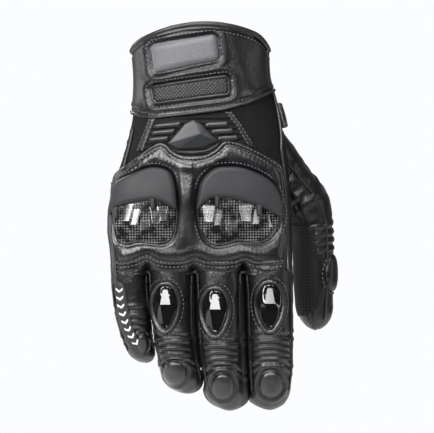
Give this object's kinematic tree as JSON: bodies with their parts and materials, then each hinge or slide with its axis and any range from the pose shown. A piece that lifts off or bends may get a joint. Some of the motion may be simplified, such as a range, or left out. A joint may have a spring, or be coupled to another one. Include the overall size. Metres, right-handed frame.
{
  "type": "motorcycle riding glove",
  "caption": "Short right-hand motorcycle glove with hard knuckle shells, finger plates, wrist strap and cuff flap",
  "frame": {"origin": "centre of the cuff mouth, at the height of the highest point of its edge", "axes": "+Z out of the cuff mouth, away from the fingers; -Y out of the back of the hand; +Y out of the palm; +X towards the thumb"},
  "size_m": [0.1389, 0.0717, 0.2316],
  "materials": {
    "black_leather": "grained black leather, semi-matte, slightly polished on the high spots",
    "inner_lining": "knitted lining",
    "grey_pad": "fine-grained grey padded fabric",
    "vent_mesh": "diagonal open mesh",
    "stretch_fabric": "dark ribbed stretch fabric",
    "matte_rubber": "matte dark grey moulded rubber",
    "weave_shell": "gloss woven fibre under lacquer",
    "gloss_armour": "gloss black moulded plastic",
    "hook_and_loop": "hook and loop tape",
    "grip_fabric": "pebbled grip fabric"
  },
  "bodies": {
    "hand": {"back_panel": "black_leather", "palm_panel": "black_leather", "hand_lining": "inner_lining", "thumb_root": "black_leather", "cuff_band": "black_leather", "cuff_binding": "black_leather", "cuff_pad": "grey_pad", "cuff_vent_mesh": "vent_mesh", "cuff_vent_frame": "black_leather", "wrist_stretch_panel": "stretch_fabric", "wrist_ribs": "matte_rubber", "wrist_badge": "matte_rubber", "knuckle_panel": "black_leather", "outer_knuckle_shell": "weave_shell", "inner_knuckle_shell": "weave_shell", "outer_knuckle_hood": "matte_rubber", "inner_knuckle_hood": "matte_rubber", "palm_heel_pad": "black_leather", "flap_loop_patch": "hook_and_loop", "strap_loop_patch": "hook_and_loop"},
    "little_base": {"little_back": "black_leather", "little_sides": "stretch_fabric", "little_palm": "black_leather", "little_strip_patch": "matte_rubber"},
    "little_end": {"little_tip": "black_leather", "little_tip_pad": "black_leather"},
    "ring_base": {"ring_back": "black_leather", "ring_sides": "stretch_fabric", "ring_palm": "black_leather", "ring_armour": "gloss_armour", "ring_armour_collar": "black_leather", "ring_rib_panel": "stretch_fabric"},
    "ring_end": {"ring_tip": "black_leather", "ring_tip_pad": "black_leather"},
    "middle_base": {"middle_back": "black_leather", "middle_sides": "stretch_fabric", "middle_palm": "black_leather", "middle_armour": "gloss_armour", "middle_armour_collar": "black_leather", "middle_rib_panel": "stretch_fabric"},
    "middle_end": {"middle_tip": "black_leather", "middle_tip_pad": "black_leather"},
    "index_base": {"index_back": "black_leather", "index_sides": "stretch_fabric", "index_palm": "black_leather", "index_armour": "gloss_armour", "index_armour_collar": "black_leather", "index_rib_panel": "stretch_fabric"},
    "index_end": {"index_tip": "black_leather", "index_tip_pad": "black_leather"},
    "thumb_lower": {"thumb_base": "black_leather", "thumb_rib_panel": "stretch_fabric"},
    "thumb_end": {"thumb_tip": "black_leather", "thumb_nail_pad": "black_leather", "thumb_grip_patch": "grip_fabric"},
    "closure_flap": {"cuff_flap": "black_leather", "flap_hook_patch": "hook_and_loop"},
    "closure_strap": {"wrist_strap": "black_leather", "strap_hook_patch": "hook_and_loop"}
  },
  "joints": [
    {"name": "little_knuckle", "type": "hinge", "parent": "hand", "child": "little_base", "pos_m": [-0.04245, 0.00622, -0.146], "axis": [1, 0, 0], "range_deg": [0, 70]},
    {"name": "little_middle_joint", "type": "hinge", "parent": "little_base", "child": "little_end", "pos_m": [-0.03985, 0.0105, -0.177], "axis": [1, 0, 0], "range_deg": [0, 75]},
    {"name": "ring_knuckle", "type": "hinge", "parent": "hand", "child": "ring_base", "pos_m": [-0.01728, 0.00462, -0.146], "axis": [1, 0, 0], "range_deg": [0, 70]},
    {"name": "ring_middle_joint", "type": "hinge", "parent": "ring_base", "child": "ring_end", "pos_m": [-0.01472, 0.00867, -0.1935], "axis": [1, 0, 0], "range_deg": [0, 75]},
    {"name": "middle_knuckle", "type": "hinge", "parent": "hand", "child": "middle_base", "pos_m": [0.01144, 0.00337, -0.146], "axis": [1, 0, 0], "range_deg": [0, 70]},
    {"name": "middle_middle_joint", "type": "hinge", "parent": "middle_base", "child": "middle_end", "pos_m": [0.01315, 0.00726, -0.1975], "axis": [1, 0, 0], "range_deg": [0, 75]},
    {"name": "index_knuckle", "type": "hinge", "parent": "hand", "child": "index_base", "pos_m": [0.04141, 0.00421, -0.146], "axis": [1, 0, 0], "range_deg": [0, 70]},
    {"name": "index_middle_joint", "type": "hinge", "parent": "index_base", "child": "index_end", "pos_m": [0.04244, 0.00743, -0.194], "axis": [1, 0, 0], "range_deg": [0, 75]},
    {"name": "thumb_root_joint", "type": "hinge", "parent": "hand", "child": "thumb_lower", "pos_m": [0.06451, 0.02471, -0.11], "axis": [1, 0, 0], "range_deg": [0, 35]},
    {"name": "thumb_middle_joint", "type": "hinge", "parent": "thumb_lower", "child": "thumb_end", "pos_m": [0.06855, 0.02851, -0.1275], "axis": [1, 0, 0], "range_deg": [0, 50]},
    {"name": "flap_hinge", "type": "hinge", "parent": "hand", "child": "closure_flap", "pos_m": [-0.033, 0.01576, -0.026], "axis": [0, 0, 1], "range_deg": [0, 110]},
    {"name": "strap_hinge", "type": "hinge", "parent": "hand", "child": "closure_strap", "pos_m": [-0.036, 0.01272, -0.0545], "axis": [0, 0, 1], "range_deg": [0, 110]}
  ]
}
